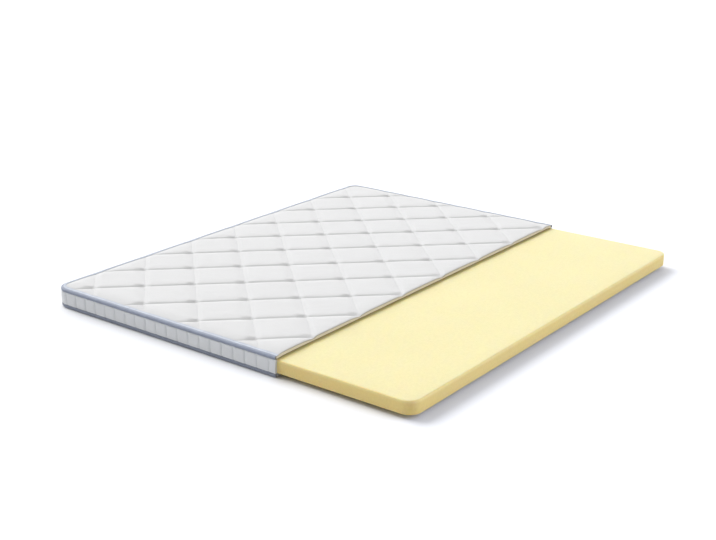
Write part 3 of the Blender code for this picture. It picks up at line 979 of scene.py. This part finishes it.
class MakeBorder(bpy.types.Operator):
    """Makes the side band, a padded strip with an upright groove at every rib"""
    bl_idname = "topper.make_border"
    bl_label = "Side band"

    def execute(self, context):
        sizes = context.scene.topper_sizes
        bottom, top = BORDER_LOW.z, BORDER_HIGH.z
        rows = np.linspace(0, 1, 13)
        total = sum(side_lengths())
        grooves = np.arange(sizes.first_groove, total, sizes.groove_pitch)
        beside = (0.0, 0.0012, 0.0026, 0.0044, 0.0068, 0.0100, 0.0150)
        extra = [groove + side * away for groove in grooves for away in beside for side in (-1, 1)]

        def section(walked, place, normal):
            nearest = float(np.min(np.abs(grooves - walked)))
            rib = round((walked - sizes.first_groove) / sizes.groove_pitch)
            groove = (1 - min(nearest / sizes.groove_width, 1.0)) ** 2.4
            depth = sizes.groove_depth * (1 + 0.25 * wobble(rib * 3.7, 2.0, 0.0))
            face = []
            for row in rows:
                swell = abs(2 * row - 1) ** 4
                ripple = wobble(walked * 26, row * 1.6, rib * 0.9) * BAND_WAVES
                out = sizes.band_reach - depth * groove * (1 - 0.35 * swell) - BAND_ROUNDING * swell
                face.append((out + ripple * (1 - swell), bottom + (top - bottom) * row))
            return [(SMALL, bottom), *face, (SMALL, top)]

        band = sweep("side_band", cover_track(step=0.0146, corner_steps=16, extra=extra), section)
        # Painted light: the band's colour is paler than the face cloth's, for light its sides don't get
        # from the lamps.
        tint = context.scene.topper_colours.band
        finish_piece(band, 55, "border", knit("band_knit", tint, "strip"))
        return {"FINISHED"}


def upper_line(walked, place, normal):
    """Outside of the upper tape: from its inner edge on the panel to its lower fold."""
    sizes = sizes_now()
    line = []
    for share in (1.0, 0.75, 0.45, 0.12):
        spot = place - normal * sizes.tape_leaf * share
        height = FOAM_HIGH.z + float(relief(np.array([spot.x]), np.array([spot.y]))[0])
        line.append((-sizes.tape_leaf * share, height + sizes.tape_cloth + SMALL))
    top, wave = line[-1][1], TAPE_WAVES * wobble(walked * 11, 1.0, 0.0)
    low = TOP_TAPE_LOW.z + SMALL
    for reach, rise in UPPER_FOLD:
        line.append((reach + wave, top + rise))
    for reach, share in UPPER_SIDE:
        line.append((reach + wave, top + (low - top) * share))
    return line


def lower_line(walked, place, normal):
    """Outside of the lower tape: from its upper fold round to its edge under the cover."""
    wave = TAPE_WAVES * wobble(walked * 9, 5.0, 0.0)
    low, high = BASE_TAPE_LOW.z, BASE_TAPE_HIGH.z
    return [(reach + wave, low + (high - low) * share) for reach, share in LOWER_SIDE]


class MakeTapes(bpy.types.Operator):
    """Folds the two edge tapes over the seams of the cover"""
    bl_idname = "topper.make_tapes"
    bl_label = "Edge tapes"

    def execute(self, context):
        track = cover_track(step=0.008, corner_steps=16)
        leaf = context.scene.topper_sizes.tape_leaf
        upper = self.tape(context, "top_edge_tape", track, upper_line)
        finish_piece(upper, 50, "top_tape", tape_material("upper_tape", leaf))
        lower = self.tape(context, "base_edge_tape", track, lower_line)
        # Painted shade: the lower tape is a darker copy of the tape colour, for the shade near the floor.
        finish_piece(lower, 50, "bottom_tape", tape_material("lower_tape", 0.0, 0.90))
        return {"FINISHED"}

    def tape(self, context, name, track, outside):
        thickness = context.scene.topper_sizes.tape_cloth

        def section(walked, place, normal):
            outer = np.array(outside(walked, place, normal))
            run = np.gradient(outer, axis=0)
            run /= np.linalg.norm(run, axis=1)[:, None]
            inner = outer + np.stack([run[:, 1], -run[:, 0]], axis=1) * thickness
            return np.concatenate([outer, inner[::-1]])

        return sweep(name, track, section)


class MakeBasePanel(bpy.types.Operator):
    """Makes the plain lower panel, flat where it rests"""
    bl_idname = "topper.make_base_panel"
    bl_label = "Lower panel"

    def execute(self, context):
        sizes = context.scene.topper_sizes
        rims = ((BASE_HIGH.z, 0.0015, 4), (BASE_LOW.z, 0.0035, 4))
        panel = rounded_block("lower_panel", BASE_LOW, BASE_HIGH, sizes.corner_radius + PANEL_REACH,
                              rims, lambda spot: abs(spot.x - CUT_X) > 1e-5)
        bpy.ops.object.mode_set(mode="OBJECT")
        # Painted shade: the lower panel's colour is darker than the face cloth's, for the dark line along
        # the cover's foot.
        tint = context.scene.topper_colours.base
        finish_piece(panel, 50, "bottom_panel", knit("base_knit", tint, "object"))
        return {"FINISHED"}


def stitch_run(starts, ends, lifts, thickness):
    """Verts and faces of many stitches, each a short humped thread between two points."""
    verts, faces = [], []
    for start, end, lift in zip(starts, ends, lifts):
        run = end - start
        side = run.cross(lift).normalized() * thickness / 2
        stations = ((0.0, -0.35), (0.18, 0.55), (0.82, 0.55), (1.0, -0.35))
        first = len(verts)
        for share, height in stations:
            centre = start + run * share + lift * (thickness * height)
            up = lift * thickness / 2
            verts += [centre + side, centre + up, centre - side, centre - up]
        faces += tube_faces(first, len(stations), 4)
    return verts, faces


def sew(name, starts, ends, lifts, tint):
    """One piece of thread from all its stitches."""
    thickness = sizes_now().thread
    thread = new_piece(name, *stitch_run(starts, ends, lifts, thickness))
    face_outwards(thread)
    finish_piece(thread, 80, None, thread_material(name, tint))


class MakeStitches(bpy.types.Operator):
    """Sews the quilting along both families of lines, and the rows that hold the tapes"""
    bl_idname = "topper.make_stitches"
    bl_label = "Stitching"

    def execute(self, context):
        self.quilting_rows(context)
        self.tape_rows(context)
        return {"FINISHED"}

    def quilting_rows(self, context):
        sizes = context.scene.topper_sizes
        starts, ends = [], []
        reach = np.arange(-3.2, 3.2, sizes.stitch)[:, None]
        for family, lean in ((0, -1), (1, 1)):
            run = np.array(Vector((sizes.diamond_width, lean * sizes.diamond_length)).normalized())
            for line in range(-15, 24, 2):
                row = np.array(plan_place(line, 0) if family == 0 else plan_place(0, line)) + run * reach
                inside = (row[:, 0] < CUT_X - CUT_MARGIN) & (edge_distance(*row.T) > SEWN_MARGIN)
                starts += list(row[inside])
                ends += list(row[inside] + run * sizes.stitch * STITCH_SHARE)
        starts, ends = np.array(starts), np.array(ends)
        level = FOAM_HIGH.z + 0.0001
        low = [Vector((x, y, z)) for (x, y), z in zip(starts, relief(*starts.T) + level)]
        high = [Vector((x, y, z)) for (x, y), z in zip(ends, relief(*ends.T) + level)]
        tint = context.scene.topper_colours.thread
        sew("quilting_thread", low, high, [Vector((0, 0, 1))] * len(low), tint)

    def tape_rows(self, context):
        """A row on the upper tape's leaf, and one on the side of each tape, beside the band."""
        sizes = context.scene.topper_sizes
        track = cover_track(step=0.016, corner_steps=16)
        stations = np.array([station[0] for station in track])
        starts, ends, lifts = [], [], []
        for outside, position in ((upper_line, 0.9), (upper_line, 11.2), (lower_line, 2.2)):
            lines = np.array([outside(*station) for station in track])
            index = int(position)
            run = lines[:, index + 1] - lines[:, index]
            spots = lines[:, index] + run * (position - index)
            level, drop = (run / np.linalg.norm(run, axis=1)[:, None]).mean(axis=0)
            for walked in np.arange(0.004, stations[-1] - sizes.stitch, sizes.stitch):
                pair = []
                for place_walked in (walked, walked + sizes.stitch * STITCH_SHARE):
                    place, normal = track_point(place_walked)
                    reach, height = (np.interp(place_walked, stations, spots[:, axis]) for axis in (0, 1))
                    pair.append(Vector((*(place + normal * reach), height)))
                starts.append(pair[0])
                ends.append(pair[1])
                lifts.append(Vector((*(normal * -drop), level)))
        tint = shade(context.scene.topper_colours.tape, 1.35)
        sew("tape_thread", starts, ends, lifts, tint)


class MakeStage(bpy.types.Operator):
    """Sets up the pale floor, the soft lights and the camera"""
    bl_idname = "topper.make_stage"
    bl_label = "Studio"

    def execute(self, context):
        studio = context.scene.topper_studio
        self.floor(context)
        self.camera(context, studio)
        self.lights(context, studio)
        context.scene.view_settings.view_transform = "Standard"
        context.scene.view_settings.look = "None"
        return {"FINISHED"}

    def floor(self, context):
        deselect_all()
        bpy.ops.mesh.primitive_plane_add(size=160.0, location=(0, 0, -0.0002))
        floor = context.object
        floor.name = "floor"
        made = bpy.data.materials.new("studio_floor")
        made.use_nodes = True
        shader = made.node_tree.nodes["Principled BSDF"]
        shader.inputs["Base Color"].default_value = (*context.scene.topper_colours.floor, 1.0)
        shader.inputs["Roughness"].default_value = 0.9
        shader.inputs["Specular IOR Level"].default_value = 0.1
        floor.data.materials.append(made)

    def camera(self, context, studio):
        azimuth, elevation = studio.azimuth, studio.elevation
        back = Vector((math.sin(azimuth) * math.cos(elevation),
                       -math.cos(azimuth) * math.cos(elevation), math.sin(elevation)))
        data = bpy.data.cameras.new("camera")
        data.lens = studio.lens
        data.sensor_width = 36.0
        data.clip_end = 300.0
        camera = bpy.data.objects.new("camera", data)
        context.collection.objects.link(camera)
        camera.location = Vector(studio.aim) + back * studio.distance
        camera.rotation_mode = "QUATERNION"
        camera.rotation_quaternion = (-back).to_track_quat("-Z", "Y")
        context.scene.camera = camera

    def lights(self, context, studio):
        world = bpy.data.worlds.new("studio")
        world.use_nodes = True
        tree = world.node_tree
        background = tree.nodes["Background"]
        background.inputs["Color"].default_value = (1.0, 1.0, 1.0, 1.0)
        behind = (math.sin(studio.azimuth), -math.cos(studio.azimuth), 0.0)
        seen = add_node(tree, "ShaderNodeTexCoord").outputs["Generated"]
        lean = add_node(tree, "ShaderNodeVectorMath", {0: seen, 1: behind}, operation="DOT_PRODUCT")
        strength = math_node(tree, "MULTIPLY_ADD", lean.outputs["Value"],
                             -studio.sky_lean * studio.sky, studio.sky)
        tree.links.new(strength, background.inputs["Strength"])
        context.scene.world = world
        for name, (source, spread) in LIGHTS.items():
            source = Vector(source).normalized()
            data = bpy.data.lights.new(name + "_light", "SUN")
            data.energy = getattr(studio, name) * math.pi / source.z
            data.angle = math.radians(spread)
            light = bpy.data.objects.new(name + "_light", data)
            context.collection.objects.link(light)
            light.rotation_mode = "QUATERNION"
            light.rotation_quaternion = source.to_track_quat("Z", "Y")
            if name in FLAGGED:
                self.flag(light, *FLAGGED[name])
            if name == "fill":
                data.color = studio.fill_tint

    def flag(self, light, pieces, state):
        """Keeps a light off some pieces or on them alone, as flags do in a studio."""
        lit = bpy.data.collections.new(light.name + "_flag")
        for piece in pieces:
            lit.objects.link(bpy.data.objects[piece])
        for entry in lit.collection_objects:
            entry.light_linking.link_state = state
        light.light_linking.receiver_collection = lit


class TopperPanel(bpy.types.Panel):
    """Lists the pieces, sizes and colours in the sidebar"""
    bl_idname = "TOPPER_PT_pieces"
    bl_label = "Mattress topper"
    bl_space_type = "VIEW_3D"
    bl_region_type = "UI"
    bl_category = "Topper"

    def draw(self, context):
        layout = self.layout
        for maker in MAKERS:
            layout.operator(maker.bl_idname)
        for group in (context.scene.topper_sizes, context.scene.topper_colours,
                      context.scene.topper_studio):
            box = layout.box()
            for name in group.__annotations__:
                box.prop(group, name)


GROUPS = {"topper_sizes": TopperSizes, "topper_colours": TopperColours,
          "topper_studio": StudioSettings}
MAKERS = (MakeFoam, MakeQuiltedPanel, MakeBorder, MakeTapes, MakeBasePanel, MakeStitches, MakeStage)


def register():
    for item in (*GROUPS.values(), *MAKERS, TopperPanel):
        bpy.utils.register_class(item)
    for name, group in GROUPS.items():
        setattr(bpy.types.Scene, name, bpy.props.PointerProperty(type=group))


def unregister():
    for name in GROUPS:
        delattr(bpy.types.Scene, name)
    for item in reversed((*GROUPS.values(), *MAKERS, TopperPanel)):
        bpy.utils.unregister_class(item)


def main():
    register()
    bpy.ops.topper.make_foam()
    bpy.ops.topper.make_quilted_panel()
    bpy.ops.topper.make_border()
    bpy.ops.topper.make_tapes()
    bpy.ops.topper.make_base_panel()
    bpy.ops.topper.make_stitches()
    bpy.ops.topper.make_stage()


if __name__ == "__main__":
    main()
